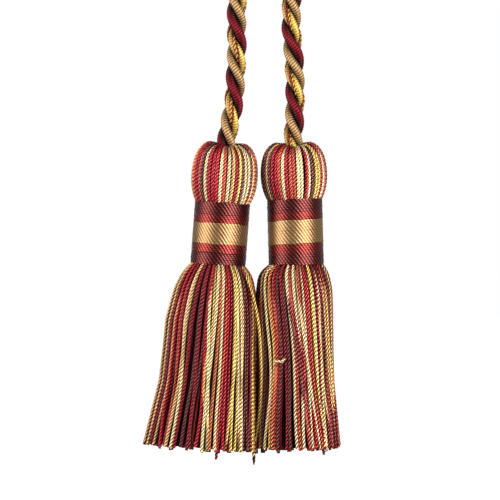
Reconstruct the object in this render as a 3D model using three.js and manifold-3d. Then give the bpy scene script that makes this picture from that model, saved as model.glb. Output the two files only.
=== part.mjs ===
// A chair tie: one twisted cord, folded over into a loop, with a bound tassel on each end.
// Millimetres, +Z up, +X to the right, -Y to the front. The origin is under the crown of the
// cord's loop, where a peg, a rail or a chair's finial carries the tie.
import * as THREE from 'three';
import { NURBSCurve } from 'three/addons/curves/NURBSCurve.js';
import { mergeVertices } from 'three/addons/utils/BufferGeometryUtils.js';
import Module from 'manifold-3d';

const wasm = await Module();
wasm.setup();

// Driving dimensions
const CLEARANCE = 0.3;

const CORD_RADIUS = 3.15;
const CORD_LOBES = 3;
const CORD_LOBE_RISE = 0.4;
const CORD_PITCH = 20.93;
const CORD_START_ANGLE = THREE.MathUtils.degToRad(38.4);
const CORD_SIDES = 12;
const CORD_STEPS = 78;

const SEAT_RADIUS = CORD_RADIUS + CLEARANCE;
const SEAT_DEPTH = 5.0;

const HEAD_YARNS = 34;
const HEAD_YARN_GROOVE = 0.5;

const NECK_RADIUS = 7.9;
const NECK_TOP = 19.9;
const CORE_END = 41.4;

const BINDING_START = NECK_TOP + CLEARANCE;
const BINDING_SEGMENTS = 24;
const BINDING_INSIDE = (NECK_RADIUS + CLEARANCE) / Math.cos(Math.PI / BINDING_SEGMENTS);
const BINDING_OUTSIDE = 9.15;

const STRAND_SIDES = 3;
const STRAND_RADIUS = 0.85;
const STRAND_SHARE = 0.38;
const STRAND_ROOT = 39.8;
const STRAND_ROOT_REACH = 7.4;
const STRAND_UNEVENNESS = 2.4;
const SWAY_ANGLE = THREE.MathUtils.degToRad(3);
const SWAY_WAVES = 3;
const SWAY_PER_MM = 0.06;

// The cord's route, from its seat in the left head, over the loop, to its seat in the right head
const CORD_ROUTE = [
  { x: -12.75, z: -80.2 },
  { x: -12.45, z: -75.9 },
  { x: -12.0, z: -71.4 },
  { x: -11.0, z: -66.6 },
  { x: -10.05, z: -61.8 },
  { x: -9.55, z: -56.8 },
  { x: -9.35, z: -50.5 },
  { x: -9.3, z: -44.2 },
  { x: -9.2, z: -38.0 },
  { x: -9.1, z: -31.9 },
  { x: -9.05, z: -26.9 },
  { x: -9.9, z: -22.1 },
  { x: -12.05, z: -17.6 },
  { x: -13.85, z: -12.9 },
  { x: -13.8, z: -7.8 },
  { x: -11.85, z: -3.1 },
  { x: -8.4, z: 0.6 },
  { x: -4.15, z: 2.75 },
  { x: 0, z: 3.35 },
  { x: 4.15, z: 2.75 },
  { x: 8.4, z: 0.6 },
  { x: 11.85, z: -3.1 },
  { x: 13.8, z: -7.8 },
  { x: 13.85, z: -12.9 },
  { x: 12.05, z: -17.6 },
  { x: 9.85, z: -22.1 },
  { x: 8.95, z: -26.9 },
  { x: 8.9, z: -31.9 },
  { x: 8.95, z: -38.0 },
  { x: 9.35, z: -44.2 },
  { x: 9.85, z: -50.5 },
  { x: 10.3, z: -56.8 },
  { x: 10.2, z: -61.8 },
  { x: 9.9, z: -66.6 },
  { x: 9.6, z: -71.4 },
  { x: 9.44, z: -75.9 },
  { x: 9.57, z: -80.2 },
];

// The head's outside below its top, from the cord's seat over the rim and down to the core's end
const HEAD_SECTIONS = [
  { drop: SEAT_DEPTH, radius: SEAT_RADIUS, groove: 0 },
  { drop: 0.9, radius: SEAT_RADIUS, groove: 0 },
  { drop: 0.0, radius: 5.3, groove: 0.5 },
  { drop: 0.9, radius: 7.4, groove: 1 },
  { drop: 2.6, radius: 9.1, groove: 1 },
  { drop: 5.2, radius: 10.4, groove: 1 },
  { drop: 9.5, radius: 10.9, groove: 1 },
  { drop: 13.5, radius: 10.8, groove: 1 },
  { drop: 17.0, radius: 10.1, groove: 1 },
  { drop: 19.8, radius: 9.1, groove: 0.7 },
  { drop: NECK_TOP, radius: NECK_RADIUS, groove: 0 },
  { drop: CORE_END, radius: NECK_RADIUS, groove: 0 },
];

// The wound stripes of the binding, from the head down
const STRIPES = [
  { name: 'upper_plum', width: 3.6, colour: 0x4a1f2a },
  { name: 'upper_brick', width: 2.9, colour: 0xa83a36 },
  { name: 'tan', width: 6.9, colour: 0xc89c5e },
  { name: 'lower_brick', width: 3.0, colour: 0xa83a36 },
  { name: 'lower_plum', width: 3.6, colour: 0x4a1f2a },
];

// Rings of strands in a skirt, from the outside in, each a share of the skirt's reach
const STRAND_RINGS = [
  { strands: 40, reach: 1.0 },
  { strands: 28, reach: 0.72 },
  { strands: 18, reach: 0.45 },
  { strands: 10, reach: 0.2 },
];

// Each tassel: where the cord enters its head, its lean, its skirt's reach to each side and to
// front and back at a few drops below the head's top, and the strands that hang past the hem
const TASSELS = [
  {
    name: 'left',
    x: -12.41,
    z: -75.5,
    lean: THREE.MathUtils.degToRad(4.2),
    hem: 101.3,
    skirt: [
      { drop: 42, left: 9.7, right: 9.9, deep: 9.7 },
      { drop: 44.5, left: 11.5, right: 11.6, deep: 11.2 },
      { drop: 49, left: 13.4, right: 12.8, deep: 12.4 },
      { drop: 60, left: 15.7, right: 13.8, deep: 13.4 },
      { drop: 80, left: 16.6, right: 15.2, deep: 14.6 },
      { drop: 101, left: 20.3, right: 16.8, deep: 16.4 },
    ],
    strays: [
      { strand: 24, extra: 1.5 },
      { strand: 31, extra: 3.3 },
      { strand: 39, extra: 4.5 },
    ],
  },
  {
    name: 'right',
    x: 9.45,
    z: -75.5,
    lean: THREE.MathUtils.degToRad(-1.5),
    hem: 101.0,
    skirt: [
      { drop: 42, left: 10.8, right: 9.4, deep: 9.6 },
      { drop: 44.5, left: 12.4, right: 10.4, deep: 11.2 },
      { drop: 49, left: 13.1, right: 11.2, deep: 12.3 },
      { drop: 60, left: 13.3, right: 11.3, deep: 13.1 },
      { drop: 80, left: 13.9, right: 11.5, deep: 14.1 },
      { drop: 101, left: 14.4, right: 12.9, deep: 15.6 },
    ],
    strays: [{ strand: 33, extra: 2.6 }],
  },
];

// Colour and roughness of each kind of yarn, with a stripe's colour in its own row above
const CORD_COLOUR = 0x8c3a3a;
const CORD_ROUGHNESS = 0.7;
const TASSEL_COLOUR = 0xa8643f;
const TASSEL_ROUGHNESS = 0.75;
const THREAD_ROUGHNESS = 0.45;

// A spread of even-looking values from 0 to 1, one for each whole number
function scatter(index) {
  const golden = 0.618034;
  return (index * golden) % 1;
}

// A closed body through rings of points that run clockwise about its direction of travel
function loft(rings) {
  const size = rings[0].length;
  const points = rings.flat();
  const lastRing = points.length - size;
  const centres = [rings[0], rings[rings.length - 1]].map((ring) =>
    ring.reduce((sum, point) => sum.add(point), new THREE.Vector3()).divideScalar(size),
  );
  const startCentre = points.push(...centres) - 2;
  const faces = [];
  for (let i = 0; i < size; i += 1) {
    const next = (i + 1) % size;
    faces.push(startCentre, i, next);
    faces.push(startCentre + 1, lastRing + next, lastRing + i);
    for (let row = 0; row < lastRing; row += size) {
      faces.push(row + i, row + size + i, row + next);
      faces.push(row + next, row + size + i, row + size + next);
    }
  }
  const geometry = new THREE.BufferGeometry().setFromPoints(points);
  geometry.setIndex(faces);
  return geometry;
}

function toSolid(geometry) {
  const merged = mergeVertices(geometry);
  return new wasm.Manifold(
    new wasm.Mesh({
      numProp: 3,
      vertProperties: new Float32Array(merged.attributes.position.array),
      triVerts: new Uint32Array(merged.index.array),
    }),
  );
}

function fromSolid(solid) {
  const { vertProperties, triVerts } = solid.getMesh();
  const geometry = new THREE.BufferGeometry();
  geometry.setAttribute('position', new THREE.BufferAttribute(vertProperties, 3));
  geometry.setIndex(new THREE.BufferAttribute(triVerts, 1));
  return geometry;
}

function yarnMesh(name, geometry, colour, roughness) {
  geometry.computeVertexNormals();
  const material = new THREE.MeshStandardMaterial({ color: colour, roughness, metalness: 0 });
  const mesh = new THREE.Mesh(geometry, material);
  mesh.name = name;
  return mesh;
}

// A smooth cubic curve led by the route's points, from the first point to the last
function cordCurve() {
  const degree = 3;
  const spans = CORD_ROUTE.length - degree;
  const knots = [];
  for (let knot = -degree; knot <= spans + degree; knot += 1) {
    knots.push(THREE.MathUtils.clamp(knot, 0, spans));
  }
  return new NURBSCurve(degree, knots, CORD_ROUTE.map(({ x, z }) => new THREE.Vector4(x, 0, z, 1)));
}

// The cord: a round section with one lobe for each strand, turned left-handed along the route
function cordGeometry() {
  const route = cordCurve();
  const length = route.getLength();
  const depth = new THREE.Vector3(0, 1, 0);
  const rings = [];
  for (let step = 0; step <= CORD_STEPS; step += 1) {
    const along = step / CORD_STEPS;
    const centre = route.getPointAt(along);
    const side = new THREE.Vector3().crossVectors(depth, route.getTangentAt(along)).normalize();
    const twist = CORD_START_ANGLE - (2 * Math.PI * along * length) / CORD_PITCH;
    const ring = [];
    for (let corner = 0; corner < CORD_SIDES; corner += 1) {
      const angle = (-2 * Math.PI * corner) / CORD_SIDES;
      const lobe = (Math.cos(CORD_LOBES * angle) - 1) * CORD_LOBE_RISE;
      const point = centre.clone();
      point.addScaledVector(side, (CORD_RADIUS + lobe) * Math.cos(angle + twist));
      point.addScaledVector(depth, (CORD_RADIUS + lobe) * Math.sin(angle + twist));
      ring.push(point);
    }
    rings.push(ring);
  }
  return loft(rings);
}

// The head and the core below it, with a ridge for each yarn that is drawn over the head
function headGeometry() {
  const sides = 2 * HEAD_YARNS;
  const rings = HEAD_SECTIONS.map(({ drop, radius, groove }) => {
    const ring = [];
    for (let corner = 0; corner < sides; corner += 1) {
      const angle = (2 * Math.PI * corner) / sides;
      const reach = radius - (corner % 2) * groove * HEAD_YARN_GROOVE;
      ring.push(new THREE.Vector3(reach * Math.cos(angle), reach * Math.sin(angle), -drop));
    }
    return ring;
  });
  return loft(rings);
}

// The skirt's reach from its axis at one section, straight towards an angle seen from above
function skirtPoint(section, angle) {
  const side = Math.cos(angle) < 0 ? section.left : section.right;
  return new THREE.Vector2(side * Math.cos(angle), section.deep * Math.sin(angle));
}

// One strand: a thin bar from its root in the core, out through the skirt's sections to its cut end
function strandGeometry(tassel, ring, index, end) {
  const stagger = STRAND_RINGS.indexOf(ring) / 2;
  const rest = (2 * Math.PI * (index + stagger)) / ring.strands;
  const reach = STRAND_ROOT_REACH;
  const root = { drop: STRAND_ROOT, left: reach, right: reach, deep: reach };
  const last = tassel.skirt.length - 1;
  const sections = [root, ...tassel.skirt.slice(0, last), { ...tassel.skirt[last], drop: end }];
  const rings = sections.map((section) => {
    const hang = (section.drop - STRAND_ROOT) / (tassel.hem - STRAND_ROOT);
    const sway = SWAY_ANGLE * hang * Math.sin(SWAY_WAVES * rest + SWAY_PER_MM * section.drop);
    const outline = skirtPoint(section, rest + sway);
    const girth = (2 * Math.PI * (section.left + section.right + 2 * section.deep)) / 4;
    const radius = Math.min(STRAND_RADIUS, (STRAND_SHARE * girth * ring.reach) / ring.strands);
    const centre = outline.multiplyScalar(ring.reach * (1 - radius / outline.length()));
    const corners = [];
    for (let corner = 0; corner < STRAND_SIDES; corner += 1) {
      const angle = rest + (2 * Math.PI * corner) / STRAND_SIDES;
      const x = centre.x + radius * Math.cos(angle);
      const y = centre.y + radius * Math.sin(angle);
      corners.push(new THREE.Vector3(x, y, -section.drop));
    }
    return corners;
  });
  return loft(rings);
}

// A tassel's head and core with all its strands fused in at their roots
function tasselGeometry(tassel) {
  let solid = toSolid(headGeometry());
  let count = 0;
  for (const ring of STRAND_RINGS) {
    for (let index = 0; index < ring.strands; index += 1) {
      const stray = ring.reach === 1 && tassel.strays.find(({ strand }) => strand === index);
      const uneven = STRAND_UNEVENNESS * (scatter(count) - 0.5);
      const end = tassel.hem + uneven + (stray ? stray.extra : 0);
      solid = solid.add(toSolid(strandGeometry(tassel, ring, index, end)));
      count += 1;
    }
  }
  return fromSolid(solid);
}

// One wound stripe of the binding: a plain ring round the neck
function stripeGeometry(width) {
  const profile = [
    [BINDING_INSIDE, -width],
    [BINDING_OUTSIDE, -width],
    [BINDING_OUTSIDE, 0],
    [BINDING_INSIDE, 0],
    [BINDING_INSIDE, -width],
  ].map(([radius, height]) => new THREE.Vector2(radius, height));
  return new THREE.LatheGeometry(profile, BINDING_SEGMENTS).rotateX(Math.PI / 2);
}

function tasselGroup(tassel) {
  const group = new THREE.Group();
  group.position.set(tassel.x, 0, tassel.z);
  group.rotation.y = tassel.lean;
  group.add(yarnMesh(`tassel_${tassel.name}`, tasselGeometry(tassel), TASSEL_COLOUR, TASSEL_ROUGHNESS));
  let drop = BINDING_START;
  for (const { name, width, colour } of STRIPES) {
    const ring = stripeGeometry(width - CLEARANCE);
    const stripe = yarnMesh(`binding_${tassel.name}_${name}`, ring, colour, THREAD_ROUGHNESS);
    stripe.position.z = -drop;
    group.add(stripe);
    drop += width;
  }
  return group;
}

const chairTie = new THREE.Group();
chairTie.add(yarnMesh('cord', cordGeometry(), CORD_COLOUR, CORD_ROUGHNESS));
TASSELS.forEach((tassel) => chairTie.add(tasselGroup(tassel)));

export default chairTie;
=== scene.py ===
"""Looks of a chair tie: a looped rope of three strands with a yarn tassel on each end."""

import math

import bpy
import numpy as np
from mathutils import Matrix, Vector


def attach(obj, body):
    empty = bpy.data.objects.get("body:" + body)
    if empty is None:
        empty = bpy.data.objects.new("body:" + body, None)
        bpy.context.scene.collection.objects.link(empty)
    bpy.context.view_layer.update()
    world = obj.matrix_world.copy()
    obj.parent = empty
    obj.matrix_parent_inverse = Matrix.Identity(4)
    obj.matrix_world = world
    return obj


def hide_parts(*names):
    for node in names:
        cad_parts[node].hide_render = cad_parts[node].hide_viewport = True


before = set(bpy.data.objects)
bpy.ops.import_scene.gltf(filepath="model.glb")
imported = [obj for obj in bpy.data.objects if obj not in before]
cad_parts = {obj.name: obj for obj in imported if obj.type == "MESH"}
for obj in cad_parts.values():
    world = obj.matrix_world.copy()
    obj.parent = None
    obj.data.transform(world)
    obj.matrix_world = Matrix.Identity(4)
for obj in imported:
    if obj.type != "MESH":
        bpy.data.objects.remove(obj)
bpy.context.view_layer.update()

MM = 0.001
FULL_TURN = 2 * math.pi
SEED = 7
# Points along a small spline, and how far short of its last knot the last one lies
SPLINE_SAMPLES = 60
SPLINE_END_GAP = 1e-9
# Faces that meet at more than this angle, as at the rims of cut ends, have a crisp edge
CRISP_ANGLE = math.radians(71)
# Share of a tube's map that the cap at each of its ends takes up
MAP_CAP = 0.01

# Photograph and camera
PHOTO_WIDTH = 165.5 * MM
PHOTO_CENTRE = (-4.8 * MM, -111.25 * MM)
CAMERA_DISTANCE = 1.1
SENSOR_WIDTH = 36.0

# Lights, surround and floor
LIGHT_COLOUR = (1.0, 0.95, 0.89)
SOFTBOX_DISTANCE = 0.9
SOFTBOX_RISE = 0.1
# Softboxes: name, azimuth in degrees from the camera's side, width and height, and power
SOFTBOXES = [
    ("softbox_left", -66, (0.7, 1.0), 15.4),
    ("softbox_right", 40, (0.7, 1.0), 20.6),
    ("softbox_back", 180, (0.4, 1.0), 12.0),
]
WHITE = (1.0, 1.0, 1.0, 1.0)
SURROUND_LIGHT = 0.44
FLOOR_HALF = 8.0
FLOOR_LEVEL = -0.3
FLOOR_COLOUR = (0.9, 0.9, 0.9, 1.0)
FLOOR_ROUGHNESS = 0.8
FLOOR_GLOW = 0.75

# Rope
CORD_PITCH = 20.93 * MM
CORD_STRANDS = 3
CORD_START_ANGLE = math.radians(38.4)
CORD_SAMPLES = 3000
# Centreline from the left head over the loop to the right head, across and up, in metres
CORD_ROUTE = [
    (-0.01275, -0.0802), (-0.01245, -0.0759), (-0.0120, -0.0714), (-0.0110, -0.0666),
    (-0.01005, -0.0618), (-0.00955, -0.0568), (-0.00935, -0.0505), (-0.0093, -0.0442),
    (-0.0092, -0.0380), (-0.0091, -0.0319), (-0.00905, -0.0269), (-0.0099, -0.0221),
    (-0.01205, -0.0176), (-0.01385, -0.0129), (-0.0138, -0.0078), (-0.01185, -0.0031),
    (-0.0084, 0.0006), (-0.00415, 0.00275), (0.0, 0.00335), (0.00415, 0.00275),
    (0.0084, 0.0006), (0.01185, -0.0031), (0.0138, -0.0078), (0.01385, -0.0129),
    (0.01205, -0.0176), (0.00985, -0.0221), (0.00895, -0.0269), (0.0089, -0.0319),
    (0.00895, -0.0380), (0.00935, -0.0442), (0.00985, -0.0505), (0.0103, -0.0568),
    (0.0102, -0.0618), (0.0099, -0.0666), (0.0096, -0.0714), (0.00944, -0.0759),
    (0.00957, -0.0802),
]
# Plies: strand, colour, kind, radius, strand's distance from the rope's centre, then the ply's
# distance from the strand's centre and its angle round it, in mm and degrees
CORD_PLIES = [
    (0, "rope_heart", "twine", 0.9, 0.0, 0.0, 0),
    (0, "rope_tan", "gimp", 1.42, 1.8, 0.0, 0),
    (1, "rope_straw", "gimp", 0.84, 1.72, 0.8, 0),
    (1, "rope_amber", "twine", 0.56, 1.72, 1.08, 76),
    (1, "rope_rust", "twine", 0.5, 1.72, 1.06, 114),
    (1, "rope_gold", "gimp", 1.06, 1.72, 0.66, 180),
    (1, "rope_amber", "twine", 0.56, 1.72, 1.08, 256),
    (1, "rope_rust", "twine", 0.5, 1.72, 1.06, 294),
    (2, "rope_burgundy", "gimp", 1.7, 1.75, 0.0, 0),
]
PLY_TURNS_A_PITCH = 2.0
PLY_START_ANGLE = math.radians(133)
# Further turn of the plies in the loop, and the loop's start and length as shares of the rope
PLY_LOOP_TURN = math.radians(215)
LOOP_START = 0.35
LOOP_SHARE = 0.3
# Tone of the plies: how far it goes up and down, and its step from ply to ply
PLY_TONE = 0.3
PLY_TONE_STEP = 2.4

# Gimp and twine: a rib of gimp has a length along its core, and rows with a reach and a groove
# value, which paints shade between the ribs and a highlight on their crests
GIMP_RIB = 0.76 * MM
GIMP_ROWS = (0.86, 0.97, 1.0, 0.97)
GIMP_GROOVES = (1.0, 0.3, 0.0, 0.3)
GIMP_POINTS_A_MM = 10
GIMP_TILT = 0.25
# Power with which the painted shade on a gimp's sides deepens, then how far the painted shade
# between its ribs shows and how fast the painted shade on its sides deepens
GIMP_SHADE = 0.62
GIMP_RIBS = {"rope_tan": 1.0, "rope_gold": 0.7, "rope_straw": 0.7, "rope_burgundy": 0.45}
GIMP_FLANKS = {"rope_tan": 0.6, "rope_gold": 0.5, "rope_straw": 0.55, "rope_burgundy": 0.95}
TWINE_PLIES = 2
TWINE_PITCH = 2.8 * MM
TWINE_STEP = 0.35 * MM

# Yarn of the heads and skirts
YARN_RADIUS = 0.63 * MM
YARN_PITCH = 3.9 * MM
YARN_STEP = 0.5 * MM
YARN_PLIES = 3
# Power with which the painted shade on a yarn's sides, turned in towards its neighbours, deepens
YARN_SHADE = 1.2
# Reach and groove value of the points of one ply in a twisted yarn's section; the groove value
# paints shade between the plies and a highlight on each ply's crest
PLY_POINTS = (0.5, 0.87, 1.0, 0.87)
PLY_GROOVES = (1.0, 0.6, 0.0, 0.6)

# Plain yarn under the outer ones
INNER_SIDES = 6
INNER_STEP = 2.0 * MM
INNER_RADIUS = 0.8 * MM
# The plain yarns are painted most of the way to the grooves' dark colour, as shade inside the
# tassel
INNER_PAINTED_SHADE = 0.88
INNER_COLOURS = ["plum", "burgundy", "plum", "brick", "burgundy", "crimson"]

# Head
HEAD_YARNS = 50
HEAD_YARN_RADIUS = 0.77 * MM
HEAD_YARN_PITCH = 3.7 * MM
HEAD_DRIFT = 0.02
# Power with which the painted shade on a yarn's sides deepens, and how strong the painted shade
# in the grooves between its plies is
HEAD_SHADE = 3.0
HEAD_GROOVES = 0.85
# Outline as radius and drop below the head's top, in mm
HEAD_OUTLINE = [
    (3.9, 3.4), (4.2, 1.0), (5.4, -0.5), (7.5, 0.1), (9.4, 2.1), (10.6, 5.2), (11.1, 9.5),
    (11.0, 13.5), (10.3, 17.0), (9.1, 19.9), (7.9, 21.6), (7.6, 23.0),
]
# How far a yarn's centre lies in from the outline and below it
HEAD_INSET = 0.85 * HEAD_YARN_RADIUS
HEAD_LOWER = 0.7 * HEAD_YARN_RADIUS
# Every second yarn is sunk near the top, above this drop
HEAD_SINK = 0.5 * MM
HEAD_SINK_END = 3 * MM
# The front of the top dips, above this drop
HEAD_DIP = 1.5 * MM
HEAD_DIP_END = 6.0 * MM
# Yarns are thinner where they crowd: their width as a share of the room, and the least width
HEAD_CROWDING = 1.15
HEAD_THINNEST = 0.6
# How far the plain yarns lie under the outer ones
HEAD_UNDER = 1.3 * MM
# The dimple's shade is full within half its radius and fades out towards its rim
DIMPLE_RADIUS = 7.5 * MM
DIMPLE_SHADE = 0.75

# Binding
BINDING_START = 20.2 * MM
BINDING_OUTSIDE = 9.2 * MM
# Stripes from the top down: name, colour, height in mm and number of threads
STRIPES = [
    ("upper_plum", "plum_thread", 3.6, 5),
    ("upper_brick", "brick_thread", 2.9, 4),
    ("tan", "tan_thread", 6.9, 9),
    ("lower_brick", "brick_thread", 3.0, 4),
    ("lower_plum", "plum_thread", 3.6, 5),
]
STRIPE_TONE = 0.4
# Waves of a stripe's edges: number round the binding and height in mm
EDGE_WAVES = ((3, 0.09), (7, 0.06), (11, 0.04))
# Rows across a thread, from -1 at its lower edge; the next thread starts at 1
THREAD_ROWS = (-1.0, -0.4, 0.4)
# How far a thread's edges fall in, and how unevenly the threads swell
THREAD_ROUND = 0.06 * MM
THREAD_SWELL = 0.04 * MM
# Painted shade in the groove between two threads, and how steeply it falls off inside them
SEAM_PAINTED_SHADE = 0.3
SEAM_POWER = 3
# Slanting marks: number round the binding, heights across one mark from 0 in its groove to 1,
# which also paint shade in the groove, and how far their relief fades towards a thread's edges
MARKS = 46
MARK_COLUMNS = (0.0, 0.5, 0.9, 1.0, 0.6)
MARK_DEPTH = 0.12 * MM
MARK_SLOPE = 0.8
MARK_FADE = 0.4

# Skirt
SKIRT_ROOT = 38.6 * MM
SKIRT_HEM = 101.0 * MM
# Layers: name, inset at the root, and least and most inset below it, in mm
SKIRT_LAYERS = [("outer", 0.0, 0.0, 0.5), ("under", 1.2, 0.2, 0.7)]
# Share of the hang in which a yarn comes out from its root, and of the inset left at the sides
ROOT_SHARE = 0.25
SIDE_INSET = 0.3
# First rows of both skirts, under the binding: drop, reach to the left, right and depth, in mm
SKIRT_START = [(38.0, 7.2, 7.2, 7.2), (40.4, 8.2, 8.2, 8.2)]
# The reach is smoothed: number of drops, how far below the hem they go, and width of the window
REACH_SAMPLES = 300
REACH_BELOW = 8 * MM
REACH_WINDOW = 17
# Thickness of a yarn: least and most, then its length and share at the root and at the tip
YARN_SIZES = (0.94, 1.05)
ROOT_LENGTH = 5 * MM
ROOT_SIZE = 0.78
TIP_LENGTH = 1.6 * MM
TIP_SIZE = 1.12
# How unevenly the yarns are set round the root, as a share of their spacing, and cut at the hem
ROOT_SCATTER = 0.2
HEM_SCATTER = 0.4 * MM
# Swing aside: most yarns drift a little and a few of them far, all wave, and bunches form
SWING_POWER = 1.5
SKIRT_DRIFT = 0.04
DRIFT_FREEDOM = 3
DRIFT_LIMIT = 4
SKIRT_WAVE = 0.045
WAVE_RATES = (3, 9)
BUNCHES = 9
BUNCH_PULL = 0.03
# A yarn that drifts this far crosses others and lies further out
CROSSING_DRIFT = 0.08
CROSSING_LIFT = 0.5 * MM
STRAY_ROOT_INSET = 1.3 * MM
STRAY_INSET = 0.6 * MM
# Filling: number of yarns in each ring and its share of the skirt's reach, from the outside in
FILLING_RINGS = [(42, 0.87), (30, 0.66), (20, 0.42), (8, 0.15)]
FILLING_SCATTER = 0.05
FILLING_BELOW_HEM = 0.1 * MM
FILLING_HEM_SCATTER = 0.5 * MM

# Tassels, with the numbers in rows in mm and degrees
# top: the head's top, across and up
# head_height: the head's height as a share of its outline
# hem, yarns: the hem's drop below the top, and the number of yarns in both outer layers
# edges: shift down of each of the binding's six edges, and how far it falls to the right
# rows: the skirt's drop, reach to the left, to the right and to the depth
# sway: a yarn's angle at its root, and its swing aside at mid height and at the hem
# bunch_turn: how far the skirt's bunches are shifted
# head, skirt: colours across the front from left to right
# strays: angle at the root, swing aside by the hem, rise at mid height, extra length below the hem,
# colour and size of the tip
TASSELS = {
    "left": {
        "top": (-12.41 * MM, -75.5 * MM),
        "lean": math.radians(4.2),
        "head_height": 1.0,
        "edges": [(0.0, 0.0), (0.5, 0.1), (0.4, 0.0), (0.3, 0.0), (0.3, 0.0), (0.4, 0.0)],
        "hem": 101.3 * MM,
        "yarns": 80,
        "rows": [
            (42, 9.7, 9.9, 9.7), (44.5, 11.5, 11.6, 11.2), (49, 13.4, 12.9, 12.4),
            (60, 15.7, 14.5, 13.4), (80, 16.6, 16.1, 14.6), (101, 20.3, 17.7, 16.4),
        ],
        "sway": [(180, 0, 0), (270, 0, 0), (300, 1, 2), (330, 0, 3), (360, 0, 0)],
        "bunch_turn": math.radians(168),
        "head": (
            "tan rust brick crimson burgundy brick plum cream crimson crimson crimson cream brick "
            "cream tan crimson gold plum cream cream plum tan brick tan plum"
        ),
        "skirt": (
            "tan plum tan brick tan plum burgundy tan crimson brick burgundy cream tan plum "
            "burgundy plum burgundy plum crimson gold cream rust cream brick crimson burgundy "
            "gold gold cream tan plum plum burgundy plum gold gold rust tan burgundy brick"
        ),
        "strays": [
            (220, 0, 0.0, 1.0, "plum", 0.8), (235, 0, 0.0, 1.1, "plum", 0.8),
            (285, 0, 0.0, 2.9, "burgundy", 0.75), (352, 0, 0.0, 4.6, "plum", 0.35),
            (349, 0, 0.0, 1.7, "cream", 0.6), (326, 16, 4.5, 0.3, "gold", 1.0),
            (306, -14, 0.7, 0.2, "gold", 1.1), (262, 12, 0.6, 0.3, "cream", 1.1),
            (300, 14, 0.7, 0.1, "cream", 1.1), (358, 0, 0.6, 0.0, "plum", 1.1),
            (354, 0, 0.6, 0.0, "burgundy", 1.1),
        ],
    },
    "right": {
        "top": (9.45 * MM, -75.5 * MM),
        "lean": math.radians(-1.5),
        "head_height": 0.945,
        "edges": [(-1.2, -0.2), (-0.5, -0.6), (-0.8, -0.35), (0.2, -0.4), (0.0, -0.3), (0.4, 0.1)],
        "hem": 101.0 * MM,
        "yarns": 72,
        "rows": [
            (42, 10.8, 9.4, 9.6), (44.5, 12.4, 10.4, 11.2), (49, 13.2, 11.2, 12.3),
            (60, 13.9, 11.3, 13.1), (80, 14.7, 11.5, 14.1), (101, 15.2, 12.9, 15.6),
        ],
        "sway": [
            (180, 0, 0), (200, 10, 0), (215, 14, 3), (240, 8, 8), (270, 2, 14), (300, 0, 11),
            (330, 0, 5), (360, 0, 0),
        ],
        "bunch_turn": math.radians(-60),
        "head": (
            "plum plum plum plum tan plum crimson crimson brick cream crimson brick brick cream "
            "cream crimson cream plum gold gold burgundy cream brick plum plum"
        ),
        "skirt": (
            "plum burgundy plum brick tan plum cream gold rust brick burgundy plum burgundy plum "
            "cream brick cream cream brick cream crimson brick gold cream burgundy cream burgundy "
            "plum brick burgundy plum burgundy tan plum burgundy plum"
        ),
        "strays": [
            (296, 0, 0.0, 2.1, "plum", 0.8), (318, 0, 0.0, 0.8, "plum", 0.8),
            (250, 26, 0.8, 0.2, "plum", 1.1), (256, 24, 0.9, 0.0, "burgundy", 1.1),
            (268, 20, 0.8, 0.2, "cream", 1.1), (232, -16, 0.7, 0.1, "brick", 1.1),
            (302, 14, 0.7, 0.3, "gold", 1.1), (182, 0, 0.6, 0.0, "plum", 1.1),
            (187, 0, 0.6, 0.0, "burgundy", 1.1), (318, 17, 0.8, 0.1, "tan", 1.1),
            (326, 17, 0.9, 0.0, "gold", 1.1),
        ],
    },
}
# A loose snippet of yarn on the front of the right skirt, in mm
SNIPPET = [
    (3.0, -12.0, -148.3), (3.6, -12.4, -147.7), (4.3, -12.9, -147.5), (5.0, -13.3, -147.8),
    (5.6, -13.5, -147.9), (6.2, -13.7, -147.3), (6.4, -13.8, -146.6),
]
SNIPPET_RADIUS = 0.5 * MM
SNIPPET_STEP = 0.3 * MM

# Finish and painted light: share of light mirrored in the fibre's own colour, roughness from
# and to, darkness of the painted shade in the grooves, and strength of the painted highlight on
# the crests
FINISHES_AND_PAINTED_LIGHT = {
    "yarn": (0.6, 0.28, 0.42, 0.03, 0.95),
    "gimp": (0.35, 0.4, 0.55, 0.03, 0.18),
    "thread": (0.85, 0.2, 0.32, 0.3, 0.26),
    "pale_thread": (0.8, 0.26, 0.38, 0.5, 0.16),
}
# Colours: finish with its painted light, and linear colour
COLOURS = {
    "plum": ("yarn", (0.145, 0.036, 0.034)),
    "burgundy": ("yarn", (0.26, 0.014, 0.024)),
    "crimson": ("yarn", (0.44, 0.016, 0.028)),
    "brick": ("yarn", (0.54, 0.070, 0.044)),
    "rust": ("yarn", (0.70, 0.19, 0.072)),
    "gold": ("yarn", (0.98, 0.65, 0.18)),
    "tan": ("yarn", (0.80, 0.48, 0.21)),
    "cream": ("yarn", (1.0, 0.76, 0.42)),
    "rope_heart": ("gimp", (0.04, 0.008, 0.010)),
    "rope_burgundy": ("gimp", (0.13, 0.002, 0.008)),
    "rope_tan": ("gimp", (0.43, 0.255, 0.112)),
    "rope_gold": ("gimp", (0.68, 0.46, 0.10)),
    "rope_straw": ("gimp", (0.50, 0.29, 0.085)),
    "rope_amber": ("gimp", (0.60, 0.30, 0.095)),
    "rope_rust": ("gimp", (0.25, 0.05, 0.015)),
    "plum_thread": ("thread", (0.080, 0.0145, 0.014)),
    "brick_thread": ("thread", (0.14, 0.0165, 0.0135)),
    "tan_thread": ("pale_thread", (0.26, 0.155, 0.070)),
}
SPECULAR = 0.15
# Powers that turn a colour into its painted shade for the grooves and its painted highlight for
# the crests
DARK_POWER = 1.2
LIGHT_POWER = 0.4
# Groove value that has the plain colour, between the painted highlight at 0 and the full painted
# shade at 1
PLAIN_GROOVE = 0.22
# Tone of the darkest yarn and of the lightest one, before the streaks add to it
TONE_RANGE = (0.7, 0.95)
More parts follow.
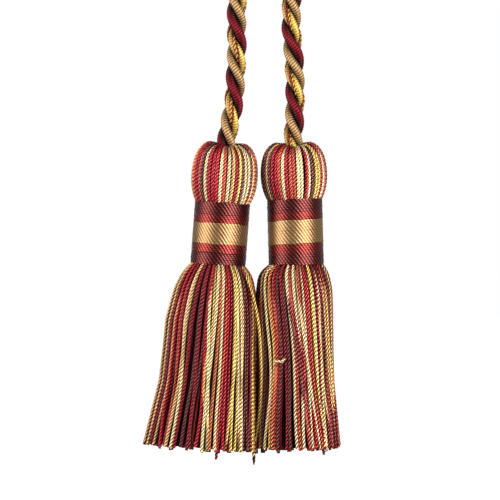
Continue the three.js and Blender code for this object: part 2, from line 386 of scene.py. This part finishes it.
# Streaks along the fibres: number a metre across and along, then share in the tone and bump
STREAKS_A_METRE = (9000.0, 700.0, 1.0)
STREAK_DETAIL = 2.0
STREAK_SHARE = 0.3
BUMP_STRENGTH = 0.4
BUMP_HEIGHT = 0.04 * MM


# Paths and sections


def unit(vectors):
    """Vectors at length one."""
    return vectors / np.linalg.norm(vectors, axis=-1, keepdims=True)


def lengths_along(path):
    """Distance from the start at each point of a path."""
    steps = np.linalg.norm(np.diff(path, axis=0), axis=1)
    return np.concatenate([[0.0], np.cumsum(steps)])


def look_up(wanted, known, values):
    """Points at the wanted places, from the values at the known ones."""
    return np.stack([np.interp(wanted, known, values[:, axis]) for axis in range(3)], axis=-1)


def at_steps(path, step):
    """The path again, with points about one step apart."""
    length = lengths_along(path)
    count = max(int(round(length[-1] / step)), 2)
    return look_up(np.linspace(0.0, length[-1], count + 1), length, path)


def spline_points(controls, count):
    """Points along a clamped uniform cubic B-spline."""
    last = len(controls) - 3
    knots = np.concatenate([np.zeros(3), np.arange(last + 1), np.full(3, last)])
    place = np.linspace(0.0, last - SPLINE_END_GAP, count)
    basis = ((place[:, None] >= knots[:-1]) & (place[:, None] < knots[1:])).astype(float)
    for degree in (1, 2, 3):
        width = knots[degree:] - knots[:-degree]
        width = np.where(width == 0, 1.0, width)
        rise = (place[:, None] - knots[None, :-degree]) / width
        fall = 1.0 - rise
        basis = rise[:, :-1] * basis[:, :-1] + fall[:, 1:] * basis[:, 1:]
    return basis @ np.asarray(controls)


def section_axes(path, outward):
    """The ways out and aside at each point of a path, both square to it."""
    along = unit(np.gradient(path, axis=0))
    out = unit(outward - (outward * along).sum(axis=1, keepdims=True) * along)
    return out, np.cross(along, out)


def tube_rings(path, outward, size, reach, turns):
    """Rings round a path, and the angle of each point from outward: size is the radius and turns
    the twist at each ring, and reach is the section's outline."""
    out, aside = section_axes(path, outward)
    angle = FULL_TURN * np.arange(len(reach))[None, :] / len(reach) + turns[:, None]
    radius = size[:, None] * reach[None, :]
    rings = path[:, None, :] + (radius * np.cos(angle))[..., None] * out[:, None, :]
    rings = rings + (radius * np.sin(angle))[..., None] * aside[:, None, :]
    return rings, angle


def shaded(groove, angle, power, sides=0.5):
    """Groove values with painted shade added on the sides turned inward, where the neighbours
    shade them; angle 0 faces out.
    """
    inward = np.clip(sides * (1 - np.cos(angle)), 0, 1) ** power
    return groove * (1 - inward) + inward


def ply_outline(plies):
    """Reach and groove value of a section with that many twisted plies; the groove value paints
    shade between the plies and a highlight on their crests.
    """
    return np.tile(PLY_POINTS, plies), np.tile(PLY_GROOVES, plies)


# Meshes


def quads(grid):
    """The four corners of each cell of a grid, cell by cell."""
    corners = [grid[:-1, :-1], grid[:-1, 1:], grid[1:, 1:], grid[1:, :-1]]
    return np.stack(corners, axis=2).reshape(-1, 4, *grid.shape[2:])


def add_object(name, data):
    """A new object in the scene."""
    made = bpy.data.objects.new(name, data)
    bpy.context.scene.collection.objects.link(made)
    return made


class Bundle:
    """Gathers tubes as arrays, so that many of them become one mesh."""

    def __init__(self):
        self.points, self.grooves, self.tones, self.colours = [], [], [], []
        self.corners, self.sizes, self.maps, self.fibres = [], [], [], []
        self.total = 0
        self.tubes = 0

    def add_faces(self, corners, maps, fibres, colour):
        """Faces as rows of point numbers, with each corner's place on both maps."""
        self.corners.append(corners.ravel())
        self.maps.append(maps.reshape(-1, 2))
        self.fibres.append(fibres.reshape(-1, 2))
        self.sizes.append(np.full(len(corners), corners.shape[1]))
        self.colours += [colour] * len(corners)

    def add_rings(self, rings, groove, colour, tone, wound=False):
        """A closed tube through rings of points; the fibres of a wound one run round it."""
        count, sides = rings.shape[:2]
        number = self.total + np.arange(count * sides).reshape(count, sides)
        number = np.concatenate([number, number[:, :1]], axis=1)
        around = self.tubes + np.arange(sides + 1)[None, :] / sides
        along = MAP_CAP + (1 - 2 * MAP_CAP) * np.arange(count)[:, None] / (count - 1)
        place = np.stack(np.broadcast_arrays(around, along), axis=-1)
        girth = lengths_along(rings[count // 2])[-1]
        length = lengths_along(rings.mean(axis=1))[:, None]
        fibre = np.stack(np.broadcast_arrays(around * girth, length), axis=-1)
        fibre = fibre[..., ::-1] if wound else fibre
        self.points.append(rings.reshape(-1, 3))
        self.grooves.append(np.broadcast_to(groove, (count, sides)).ravel())
        self.add_faces(quads(number), quads(place), quads(fibre), colour)
        self.total += count * sides
        for ring, edge in ((0, 0.0), (-1, 1.0)):
            self.add_cap(rings[ring], number[ring], place[ring], fibre[ring], edge, colour)
        self.tones.append(np.full(count * sides + 2, tone))
        self.tubes += 1

    def add_cap(self, ring, number, place, fibre, edge, colour):
        """A fan that closes a tube: edge 0 for its start, 1 for its end."""
        step = 1 if edge else -1
        number, place, fibre = number[::step], place[::step], fibre[::step]
        middle = (place[:-1] + place[1:]) / 2
        middle[:, 1] = edge
        centre = np.full(len(ring), self.total)
        self.points.append(ring.mean(axis=0)[None])
        # The cap's centre takes the full groove value, the colour of the grooves' painted shade
        self.grooves.append(np.ones(1))
        self.add_faces(
            np.stack([number[:-1], number[1:], centre], axis=1),
            np.stack([place[:-1], place[1:], middle], axis=1),
            np.stack([fibre[:-1], fibre[1:], fibre[1:]], axis=1),
            colour,
        )
        self.total += 1

    def build_mesh(self, name, names):
        """One mesh of all the faces, with their materials in the order of the names."""
        mesh = bpy.data.meshes.new(name)
        points = np.concatenate(self.points)
        corners = np.concatenate(self.corners)
        sizes = np.concatenate(self.sizes)
        mesh.vertices.add(len(points))
        mesh.vertices.foreach_set("co", points.astype(np.float32).ravel())
        mesh.loops.add(len(corners))
        mesh.loops.foreach_set("vertex_index", corners.astype(np.int32))
        mesh.polygons.add(len(sizes))
        mesh.polygons.foreach_set("loop_start", (np.cumsum(sizes) - sizes).astype(np.int32))
        numbers = {colour: index for index, colour in enumerate(names)}
        chosen = np.array([numbers[colour] for colour in self.colours], np.int32)
        mesh.polygons.foreach_set("material_index", chosen)
        self.add_values(mesh)
        mesh.update(calc_edges=True)
        mesh.validate()
        mesh.shade_smooth()
        for colour in names:
            mesh.materials.append(material_of(colour))
        return mesh

    def add_values(self, mesh):
        """Both maps, and at each point the tone and the groove value, which sets the painted shade
        and highlight.
        """
        maps = np.concatenate(self.maps) / (self.tubes, 1.0)
        for label, values in (("OFBake", maps), ("fibre", np.concatenate(self.fibres))):
            layer = mesh.uv_layers.new(name=label)
            layer.uv.foreach_set("vector", values.astype(np.float32).ravel())
        for label, values in (("groove", self.grooves), ("tone", self.tones)):
            layer = mesh.attributes.new(label, "FLOAT", "POINT")
            layer.data.foreach_set("value", np.concatenate(values).astype(np.float32))

    def make_piece(self, name, node, crisp=True):
        """The mesh as an object, attached to the root body, with the part it stands for hidden."""
        mesh = self.build_mesh(name, sorted(set(self.colours)))
        if crisp:
            mesh.set_sharp_from_angle(angle=CRISP_ANGLE)
        piece = add_object(name, mesh)
        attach(piece, "root")
        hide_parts(node)
        return piece


# Rope


def cord_line():
    """The rope's centreline with even steps."""
    flat = spline_points(CORD_ROUTE, CORD_SAMPLES)
    path = np.stack([flat[:, 0], np.zeros(len(flat)), flat[:, 1]], axis=1)
    return at_steps(path, lengths_along(path)[-1] / CORD_SAMPLES)


def strand_frame(line, strand, distance):
    """Centreline of one strand, and its ways out from the rope and aside."""
    length = lengths_along(line)
    tangent = unit(np.gradient(line, axis=0))
    depth = np.array([0.0, 1.0, 0.0])
    side = np.cross(depth, tangent)
    start = CORD_START_ANGLE + FULL_TURN * strand / CORD_STRANDS
    angle = start - FULL_TURN * length / CORD_PITCH
    outward = np.cos(angle)[:, None] * side + np.sin(angle)[:, None] * depth
    centre = line + distance * outward
    return centre, *section_axes(centre, outward)


def add_gimp(bundle, path, outward, radius, colour, tone):
    """A core wound closely with thread, so that it has ribs across it."""
    length = lengths_along(path)[-1]
    count = int(length / GIMP_RIB) * len(GIMP_ROWS)
    sides = int(GIMP_POINTS_A_MM * radius / MM)
    angle = FULL_TURN * np.arange(sides) / sides
    # The thread lies at a slant, so one side of each ring is ahead of the other
    lead = GIMP_TILT * radius / length * np.sin(angle)
    wanted = np.clip(np.linspace(0.0, 1.0, count)[:, None] + lead[None, :], 0.0, 1.0)
    known = np.linspace(0.0, 1.0, len(path))
    out, aside = section_axes(path, outward)
    away = np.cos(angle)[None, :, None] * look_up(wanted, known, out)
    away += np.sin(angle)[None, :, None] * look_up(wanted, known, aside)
    rise = radius * np.resize(GIMP_ROWS, count)
    rings = look_up(wanted, known, path) + rise[:, None, None] * away
    # Painted shade between the ribs shows on the outer face, and painted shade deepens the sides
    # towards the next strand
    ribs = GIMP_RIBS[colour] * np.resize(GIMP_GROOVES, count)[:, None]
    groove = shaded(ribs, angle[None, :], GIMP_SHADE, GIMP_FLANKS[colour])
    bundle.add_rings(rings, groove, colour, tone, wound=True)


def add_twine(bundle, path, outward, radius, colour, tone):
    """A thin twine of two plies."""
    stepped = at_steps(path, TWINE_STEP)
    place = np.linspace(0, len(path) - 1, len(stepped)).round().astype(int)
    reach, groove = ply_outline(TWINE_PLIES)
    size = np.full(len(stepped), radius)
    turns = FULL_TURN * lengths_along(stepped) / TWINE_PITCH
    rings, angle = tube_rings(stepped, outward[place], size, reach, turns)
    # Painted shade in the grooves between its plies and on its sides turned inward
    bundle.add_rings(rings, shaded(groove, angle, YARN_SHADE), colour, tone)


def ply_twist(length):
    """Turn of the plies in their strand along the rope; they turn further in the loop, so each
    length shows the face that it has in the photo."""
    share = np.clip((length / length[-1] - LOOP_START) / LOOP_SHARE, 0.0, 1.0)
    twist = PLY_START_ANGLE + FULL_TURN * PLY_TURNS_A_PITCH * length / CORD_PITCH
    return twist + PLY_LOOP_TURN * (3 * share**2 - 2 * share**3)


def make_cord():
    """The rope as one mesh: a dark heart and three strands, one of them twisted from six plies."""
    line = cord_line()
    length = lengths_along(line)
    twist = ply_twist(length)
    bundle = Bundle()
    for number, (strand, colour, kind, radius, distance, reach, angle) in enumerate(CORD_PLIES):
        centre, out, aside = strand_frame(line, strand, distance * MM)
        turn = (twist + math.radians(angle))[:, None]
        path = centre + reach * MM * (np.cos(turn) * out + np.sin(turn) * aside)
        tone = PLY_TONE * math.sin(PLY_TONE_STEP * number)
        add = add_gimp if kind == "gimp" else add_twine
        add(bundle, path, out, radius * MM, colour, tone)
    piece = bundle.make_piece("rope", "cord")


# Yarns of a tassel


def to_world(tassel, across, depth, drop):
    """Row-frame points from a tassel's own across, depth and drop."""
    left, top = tassel["top"]
    lean = tassel["lean"]
    x = left + across * math.cos(lean) - drop * math.sin(lean)
    z = top - across * math.sin(lean) - drop * math.cos(lean)
    return np.stack([x, np.broadcast_to(depth, x.shape), z], axis=-1)


def outward_of(tassel, turn):
    """Directions away from a tassel's axis at these angles."""
    lean = tassel["lean"]
    x = np.cos(turn) * math.cos(lean)
    z = -np.cos(turn) * math.sin(lean)
    return np.stack([x, np.sin(turn), z], axis=-1)


def colour_at(chart, other, turn):
    """Colour of a yarn from the charts: its own in front, the other one behind."""
    names = (chart if math.sin(turn) < 0 else other).split()
    share = (turn % math.pi) / math.pi
    return names[min(int(share * len(names)), len(names) - 1)]


def add_yarn(bundle, path, outward, size, pitch, shade, colour, rng, grooves=1.0, dim=0.0):
    """A twisted yarn of three plies along a path, with painted shade in its grooves and on its
    inward sides: grooves is how far the painted shade between its plies goes, and dim is how much
    more painted shade it gets at each point, where it lies deep."""
    reach, groove = ply_outline(YARN_PLIES)
    turns = rng.uniform(0, FULL_TURN) + FULL_TURN * lengths_along(path) / pitch
    rings, angle = tube_rings(path, outward, size, reach, turns)
    # Painted shade at each point: in the grooves, on the sides turned inward, and more by dim
    depth = shaded(grooves * groove, angle, shade)
    depth = depth + (1 - depth) * np.broadcast_to(dim, len(path))[:, None]
    bundle.add_rings(rings, depth, colour, rng.uniform(-1, 1))


def add_plain_yarn(bundle, path, outward, radius, rng):
    """A smooth yarn for the places under the outer ones."""
    size = np.full(len(path), radius)
    rings, _ = tube_rings(path, outward, size, np.ones(INNER_SIDES), np.zeros(len(path)))
    colour = INNER_COLOURS[rng.integers(len(INNER_COLOURS))]
    # Painted shade all over, most of the way to the grooves' dark colour
    bundle.add_rings(rings, INNER_PAINTED_SHADE, colour, rng.uniform(-1, 1))


# Heads


def head_path(tassel, outline, angles, sunk, step):
    """Centreline of a head's yarn under an outline, its way out, and its reach from the axis."""
    reach = outline[:, 0] - HEAD_INSET
    drop = outline[:, 1] + HEAD_LOWER + sunk * (outline[:, 1] < HEAD_SINK_END)
    front = np.clip(-np.sin(angles), 0, 1) ** 2
    drop = drop + HEAD_DIP * front * np.clip(1 - np.maximum(drop, 0) / HEAD_DIP_END, 0, 1)
    path = to_world(tassel, reach * np.cos(angles), reach * np.sin(angles), drop)
    stepped = at_steps(path, step)
    known = np.arange(len(path))
    place = np.linspace(0, len(path) - 1, len(stepped))
    away = outward_of(tassel, np.interp(place, known, angles))
    return stepped, away, np.interp(place, known, reach)


def add_head_yarn(bundle, tassel, outline, angles, sunk, colour, rng):
    """One outer yarn of a head: thinner where yarns crowd, and with painted shade down in the
    dimple.
    """
    path, away, reach = head_path(tassel, outline, angles, sunk, YARN_STEP)
    room = FULL_TURN * reach / HEAD_YARNS / (2 * HEAD_YARN_RADIUS)
    size = HEAD_YARN_RADIUS * np.clip(HEAD_CROWDING * room, HEAD_THINNEST, 1.0)
    dim = DIMPLE_SHADE * np.clip(2 - 2 * reach / DIMPLE_RADIUS, 0, 1)
    add_yarn(
        bundle, path, away, size, HEAD_YARN_PITCH, HEAD_SHADE, colour, rng,
        grooves=HEAD_GROOVES, dim=dim,
    )


def add_head_filler(bundle, tassel, outline, angles, rng):
    """One plain yarn under the gap beside an outer yarn of a head."""
    under = outline + HEAD_UNDER * np.array([-1.0, 1.0])
    between = angles + 0.5 * FULL_TURN / HEAD_YARNS
    path, away, _ = head_path(tassel, under, between, 0.0, INNER_STEP)
    add_plain_yarn(bundle, path, away, HEAD_YARN_RADIUS, rng)


def make_head(side, tassel, other, rng):
    """The head: yarns that leave the dimple round the rope and run under the binding."""
    bundle = Bundle()
    controls = np.array(HEAD_OUTLINE) * MM * (1.0, tassel["head_height"])
    outline = spline_points(controls, SPLINE_SAMPLES)
    bow = np.sin(np.linspace(0, math.pi, SPLINE_SAMPLES))
    for index in range(HEAD_YARNS):
        turn = FULL_TURN * (index + 0.5) / HEAD_YARNS + math.pi
        colour = colour_at(tassel["head"], other["head"], turn)
        angles = turn + rng.normal(0, HEAD_DRIFT) * bow
        add_head_yarn(bundle, tassel, outline, angles, HEAD_SINK * (index % 2), colour, rng)
        add_head_filler(bundle, tassel, outline, angles, rng)
    bundle.make_piece(f"head_{side}", f"tassel_{side}", crisp=False)


# Skirts


def skirt_reach(tassel, drops):
    """Left, right and depth reach of a skirt at these drops, smoothed along its rows."""
    rows = np.array(SKIRT_START + tassel["rows"]) * MM
    fine = np.linspace(rows[0, 0], SKIRT_HEM + REACH_BELOW, REACH_SAMPLES)
    window = np.hanning(REACH_WINDOW)
    window /= window.sum()
    smooth = []
    for column in (1, 2, 3):
        values = np.interp(fine, rows[:, 0], rows[:, column])
        slope = (rows[-1, column] - rows[-2, column]) / (rows[-1, 0] - rows[-2, 0])
        values = values + slope * np.clip(fine - rows[-1, 0], 0, None)
        padded = np.pad(values, REACH_WINDOW // 2, mode="reflect", reflect_type="odd")
        smooth.append(np.interp(drops, fine, np.convolve(padded, window, mode="valid")))
    return smooth


def wave_aside(hang, rng):
    """How far one yarn waves aside on its way down."""
    height = rng.normal(0, SKIRT_WAVE)
    rate = rng.uniform(*WAVE_RATES)
    start = rng.uniform(0, FULL_TURN)
    return hang * (height * np.sin(rate * hang + start))


def sway_aside(tassel, turn, hang):
    """How far the tassel's yarns at this angle lie aside on their way down."""
    degrees, middle, hem = np.array(tassel["sway"]).T
    root = math.degrees(turn) % 360
    middle, hem = np.interp(root, degrees, middle), np.interp(root, degrees, hem)
    bow = np.sin(math.pi * np.clip(hang, 0, 1)) ** 2
    return np.radians(middle * bow + hem * hang**SWING_POWER)


def skirt_path(tassel, turn, swing, share, inset, hem, rng, step):
    """Centreline of one hanging yarn, which swings aside as it hangs, and its way out; inset is
    how far it lies in at its root, below it and at mid height."""
    drops = np.arange(SKIRT_ROOT, hem, step)
    drops[-1] = hem
    hang = (drops - SKIRT_ROOT) / (SKIRT_HEM - SKIRT_ROOT)
    wave = wave_aside(hang, rng)
    angles = turn + hang**SWING_POWER * swing + wave + sway_aside(tassel, turn, hang)
    root, below, middle = inset
    # By mid height the yarn's own radius is taken off the reach too
    radius = np.clip(2 * hang, 0, 1) * YARN_RADIUS
    pull = np.interp(hang, [0.0, ROOT_SHARE], [root, below]) + radius
    pull = pull + middle * np.sin(math.pi * np.clip(hang, 0, 1))
    left, right, deep = skirt_reach(tassel, drops)
    aside = np.where(np.cos(angles) < 0, left, right)
    across = (share * aside - pull) * np.cos(angles)
    depth = (share * deep - pull) * np.sin(angles)
    return to_world(tassel, across, depth, drops), outward_of(tassel, angles)


def add_skirt_yarn(bundle, tassel, turn, swing, inset, hem, colour, rng, tip=TIP_SIZE):
    """One yarn of the skirt's outer layers, thin at its root; its end is slightly opened or drawn
    to a tip."""
    path, away = skirt_path(tassel, turn, swing, 1.0, inset, hem, rng, YARN_STEP)
    left = lengths_along(path)[-1] - lengths_along(path)
    size = YARN_RADIUS * rng.uniform(*YARN_SIZES)
    size = size * np.interp(left, [0.0, TIP_LENGTH], [tip, 1.0])
    # In reverse, the lengths left serve as those from the root
    size *= np.interp(left[::-1], [0.0, ROOT_LENGTH], [ROOT_SIZE, 1.0])
    add_yarn(bundle, path, away, size, YARN_PITCH, YARN_SHADE, colour, rng)


def add_layer(bundle, tassel, other, first, insets, rng):
    """Every second yarn of the skirt from the first one on, with its insets as in the layers."""
    root, low, high = insets
    for number in range(first, tassel["yarns"], 2):
        place = number + 0.5 + rng.uniform(-ROOT_SCATTER, ROOT_SCATTER)
        turn = math.pi + FULL_TURN * place / tassel["yarns"]
        colour = colour_at(tassel["skirt"], other["skirt"], turn)
        drift = SKIRT_DRIFT * np.clip(rng.standard_t(DRIFT_FREEDOM), -DRIFT_LIMIT, DRIFT_LIMIT)
        bunch = BUNCH_PULL * math.sin(BUNCHES * turn + tassel["bunch_turn"])
        front = SIDE_INSET + (1 - SIDE_INSET) * abs(math.sin(turn))
        below = rng.uniform(low, high) * MM * front
        below -= CROSSING_LIFT * min(abs(drift) / CROSSING_DRIFT, 1.0)
        hem = tassel["hem"] + rng.normal(0, HEM_SCATTER)
        inset = (root * MM, below, 0.0)
        add_skirt_yarn(bundle, tassel, turn, drift + bunch, inset, hem, colour, rng)


def add_strays(bundle, tassel, rng):
    """The few yarns that hang out below the hem or cross the others."""
    for degrees, aside, rise, extra, colour, tip in tassel["strays"]:
        hem = tassel["hem"] + extra * MM
        inset = (STRAY_ROOT_INSET, STRAY_INSET, -rise * MM)
        turn, swing = math.radians(degrees), math.radians(aside)
        add_skirt_yarn(bundle, tassel, turn, swing, inset, hem, colour, rng, tip)


def add_snippet(bundle, rng):
    """The loose snippet that clings to the skirt's front."""
    path = at_steps(spline_points(np.array(SNIPPET) * MM, SPLINE_SAMPLES), SNIPPET_STEP)
    away = np.broadcast_to(np.array([0.0, -1.0, 0.0]), path.shape)
    size = np.full(len(path), SNIPPET_RADIUS)
    add_yarn(bundle, path, away, size, YARN_PITCH, YARN_SHADE, "cream", rng)


def make_skirt(side, tassel, other, rng):
    """The skirt's two outer layers, yarn by yarn between each other."""
    for first, (layer, *insets) in enumerate(SKIRT_LAYERS):
        bundle = Bundle()
        add_layer(bundle, tassel, other, first, insets, rng)
        if layer == "under":
            add_strays(bundle, tassel, rng)
        if layer == "outer" and side == "right":
            add_snippet(bundle, rng)
        bundle.make_piece(f"skirt_{side}_{layer}", f"tassel_{side}")


def make_filling(side, tassel, rng):
    """The yarns inside the skirt, which show between the outer ones and at the hem."""
    bundle = Bundle()
    inset = (0.0, 0.0, 0.0)
    for ring, (count, share) in enumerate(FILLING_RINGS):
        for index in range(count):
            turn = FULL_TURN * (index + 0.5 * ring) / count + rng.normal(0, FILLING_SCATTER)
            hem = tassel["hem"] + rng.normal(FILLING_BELOW_HEM, FILLING_HEM_SCATTER)
            path, away = skirt_path(tassel, turn, 0.0, share, inset, hem, rng, INNER_STEP)
            add_plain_yarn(bundle, path, away, INNER_RADIUS, rng)
    bundle.make_piece(f"skirt_{side}_filling", f"tassel_{side}")


# Bindings


def edge_drop(edge, turns):
    """A stripe edge's drop at these angles; it waves a little round the binding."""
    level, fall, phases = edge
    drop = level + fall * np.cos(turns)
    for (waves, height), phase in zip(EDGE_WAVES, phases):
        drop = drop + height * MM * np.sin(waves * turns + phase)
    return drop


def stripe_rings(tassel, upper, lower, threads, rng):
    """Rings of a stripe of wound thread from its lower edge up, and their groove values, which
    paint shade in the marks' grooves and between the threads.
    """
    columns = MARKS * len(MARK_COLUMNS)
    base = FULL_TURN * np.arange(columns) / columns
    mark = np.resize(MARK_COLUMNS, columns)
    rows = [(thread, place) for thread in range(threads) for place in THREAD_ROWS]
    rows.append((threads - 1, 1.0))
    swell = rng.normal(0, THREAD_SWELL, threads)
    rings, grooves = [], []
    for thread, place in rows:
        share = (thread + (place + 1) / 2) / threads
        fall = THREAD_ROUND * (1 - math.sqrt(1 - place * place))
        radius = BINDING_OUTSIDE + swell[thread] * (1 - place * place) - fall
        radius = radius + MARK_DEPTH * (mark - 1.0) * (1 - MARK_FADE * abs(place))
        level = lower[0] + share * (upper[0] - lower[0])
        turns = base + MARK_SLOPE * level / BINDING_OUTSIDE
        drop = (1 - share) * edge_drop(lower, turns) + share * edge_drop(upper, turns)
        rings.append(to_world(tassel, radius * np.cos(turns), radius * np.sin(turns), drop))
        # Painted shade in each mark's groove and at the seams between threads
        grooves.append(np.maximum(1 - mark, SEAM_PAINTED_SHADE * abs(place) ** SEAM_POWER))
    return np.array(rings), np.array(grooves)


def make_stripe(side, tassel, name, colour, threads, upper, lower, rng):
    """One stripe of the binding as a closed drum of wound thread."""
    rings, grooves = stripe_rings(tassel, upper, lower, threads, rng)
    bundle = Bundle()
    bundle.add_rings(rings, grooves, colour, rng.uniform(-STRIPE_TONE, STRIPE_TONE))
    bundle.make_piece(f"stripe_{side}_{name}", f"binding_{side}_{name}")


def make_binding(side, tassel, rng):
    """The five stripes between head and skirt, with edges that waver a little."""
    levels = BINDING_START + np.cumsum([0.0] + [height for _, _, height, _ in STRIPES]) * MM
    edges = []
    for level, (shift, fall) in zip(levels, tassel["edges"]):
        phases = rng.uniform(0, FULL_TURN, len(EDGE_WAVES))
        edges.append((level + shift * MM, fall * MM, phases))
    for (name, colour, _, threads), upper, lower in zip(STRIPES, edges, edges[1:]):
        make_stripe(side, tassel, name, colour, threads, upper, lower, rng)


# Materials


def link(tree, source, target):
    """Joins two sockets of a node tree."""
    tree.links.new(source, target)


def add_node(tree, kind, **values):
    """A node with its input values set by socket name."""
    node = tree.nodes.new(kind)
    for name, value in values.items():
        node.inputs[name.replace("_", " ")].default_value = value
    return node


def add_attribute(tree, name):
    """A value that the mesh carries at its points."""
    node = tree.nodes.new("ShaderNodeAttribute")
    node.attribute_name = name
    return node.outputs["Fac"]


def material_of(name):
    """The material of one colour, made once."""
    made = bpy.data.materials.get(f"{name}_fibre")
    return made or fibre_material(f"{name}_fibre", *COLOURS[name])


def fibre_material(name, finish_and_painted_light, colour):
    """Lustrous yarn: painted shade in its grooves and a painted highlight on its crests, uneven in
    tone, with fine fibres along it.
    """
    lustre, smooth, dull, shade, painted_glint = FINISHES_AND_PAINTED_LIGHT[finish_and_painted_light]
    material = bpy.data.materials.new(name)
    material.use_nodes = True
    tree = material.node_tree
    shader = tree.nodes["Principled BSDF"]
    shader.inputs["Metallic"].default_value = lustre
    shader.inputs["Specular IOR Level"].default_value = SPECULAR
    streaks = fibre_streaks(tree)
    base = fibre_colour(tree, painted_shade_and_highlight(tree, colour, shade, painted_glint), streaks)
    link(tree, base, shader.inputs["Base Color"])
    rough = add_node(tree, "ShaderNodeMapRange", To_Min=smooth, To_Max=dull)
    link(tree, streaks, rough.inputs["Value"])
    link(tree, rough.outputs["Result"], shader.inputs["Roughness"])
    bump = add_node(tree, "ShaderNodeBump", Strength=BUMP_STRENGTH, Distance=BUMP_HEIGHT)
    link(tree, streaks, bump.inputs["Height"])
    link(tree, bump.outputs["Normal"], shader.inputs["Normal"])
    return material


def fibre_streaks(tree):
    """Fine streaks along the fibres, from 0 to 1."""
    place = tree.nodes.new("ShaderNodeUVMap")
    place.uv_map = "fibre"
    stretch = add_node(tree, "ShaderNodeMapping", Scale=STREAKS_A_METRE)
    link(tree, place.outputs["UV"], stretch.inputs["Vector"])
    streaks = add_node(tree, "ShaderNodeTexNoise", Scale=1.0, Detail=STREAK_DETAIL)
    link(tree, stretch.outputs["Vector"], streaks.inputs["Vector"])
    return streaks.outputs["Fac"]


def painted_shade_and_highlight(tree, colour, shade, painted_glint):
    """The colour, with a painted highlight on the crests and painted shade in the grooves."""
    dark = tuple(shade * part**DARK_POWER for part in colour)
    light = tuple(part + painted_glint * (part**LIGHT_POWER - part) for part in colour)
    ramp = tree.nodes.new("ShaderNodeValToRGB")
    stops = ramp.color_ramp.elements
    stops.new(PLAIN_GROOVE)
    for stop, tint in zip(stops, (light, colour, dark)):
        stop.color = (*tint, 1.0)
    link(tree, add_attribute(tree, "groove"), ramp.inputs["Fac"])
    return ramp.outputs["Color"]


def fibre_colour(tree, plain, streaks):
    """The plain colour, varied from yarn to yarn and along the fibres."""
    darkest, lightest = TONE_RANGE
    uneven = add_node(tree, "ShaderNodeMapRange", From_Min=-1.0, To_Min=darkest, To_Max=lightest)
    link(tree, add_attribute(tree, "tone"), uneven.inputs["Value"])
    varied = tree.nodes.new("ShaderNodeMath")
    varied.operation = "MULTIPLY_ADD"
    varied.inputs[1].default_value = STREAK_SHARE
    link(tree, streaks, varied.inputs[0])
    link(tree, uneven.outputs["Result"], varied.inputs[2])
    toned = tree.nodes.new("ShaderNodeHueSaturation")
    link(tree, varied.outputs["Value"], toned.inputs["Value"])
    link(tree, plain, toned.inputs["Color"])
    return toned.outputs["Color"]


def floor_material():
    """Pale and matt, with a faint light of its own that keeps it white."""
    pale = bpy.data.materials.new("pale_floor")
    pale.use_nodes = True
    shader = pale.node_tree.nodes["Principled BSDF"]
    shader.inputs["Base Color"].default_value = FLOOR_COLOUR
    shader.inputs["Roughness"].default_value = FLOOR_ROUGHNESS
    shader.inputs["Emission Color"].default_value = FLOOR_COLOUR
    shader.inputs["Emission Strength"].default_value = FLOOR_GLOW
    return pale


# Stage


def make_floor():
    """A plain pale floor well below the tassels, which throws no light back on them."""
    mesh = bpy.data.meshes.new("floor")
    ends = (-FLOOR_HALF, FLOOR_HALF)
    corners = [(x, y, FLOOR_LEVEL) for y in ends for x in ends]
    mesh.from_pydata(corners, [], [(0, 1, 3, 2)])
    mesh.materials.append(floor_material())
    floor = add_object("floor", mesh)
    floor.visible_diffuse = False
    floor.visible_glossy = False


def make_softbox(name, azimuth, size, power):
    """A large soft light that faces the tassels; azimuth 0 is the camera's side."""
    data = bpy.data.lights.new(name, "AREA")
    data.shape = "RECTANGLE"
    data.size, data.size_y = size
    data.energy = power
    data.color = LIGHT_COLOUR
    lamp = add_object(name, data)
    turn = math.radians(azimuth)
    x, z = PHOTO_CENTRE
    away = Vector((math.sin(turn), -math.cos(turn), 0.0)) * SOFTBOX_DISTANCE
    away.z = SOFTBOX_RISE
    lamp.location = Vector((x, 0.0, z)) + away
    lamp.rotation_euler = (-away).to_track_quat("-Z", "Y").to_euler()


def make_world():
    """A white surround for the camera, whose light on the object is weaker."""
    world = bpy.data.worlds.new("studio")
    bpy.context.scene.world = world
    world.use_nodes = True
    tree = world.node_tree
    seen = tree.nodes["Background"]
    seen.inputs["Color"].default_value = WHITE
    lit = add_node(tree, "ShaderNodeBackground", Color=WHITE, Strength=SURROUND_LIGHT)
    path = tree.nodes.new("ShaderNodeLightPath")
    mix = tree.nodes.new("ShaderNodeMixShader")
    link(tree, path.outputs["Is Camera Ray"], mix.inputs["Fac"])
    link(tree, lit.outputs["Background"], mix.inputs[1])
    link(tree, seen.outputs["Background"], mix.inputs[2])
    link(tree, mix.outputs["Shader"], tree.nodes["World Output"].inputs["Surface"])


def make_camera():
    """A level camera in front, framed as the photograph is."""
    data = bpy.data.cameras.new("camera")
    data.sensor_width = SENSOR_WIDTH
    data.lens = SENSOR_WIDTH * CAMERA_DISTANCE / PHOTO_WIDTH
    camera = add_object("camera", data)
    x, z = PHOTO_CENTRE
    camera.location = (x, -CAMERA_DISTANCE, z)
    camera.rotation_euler = (math.pi / 2, 0.0, 0.0)
    bpy.context.scene.camera = camera


def make_stage():
    """Camera, surround, lights and floor."""
    bpy.context.scene.view_settings.view_transform = "Standard"
    make_camera()
    make_world()
    for softbox in SOFTBOXES:
        make_softbox(*softbox)
    make_floor()


def main():
    """Builds every piece."""
    make_stage()
    make_cord()
    for number, (side, tassel) in enumerate(TASSELS.items()):
        other = TASSELS["right" if side == "left" else "left"]
        head, binding, skirt, filling = np.random.default_rng(SEED + number).spawn(4)
        make_head(side, tassel, other, head)
        make_binding(side, tassel, binding)
        make_skirt(side, tassel, other, skirt)
        make_filling(side, tassel, filling)


main()
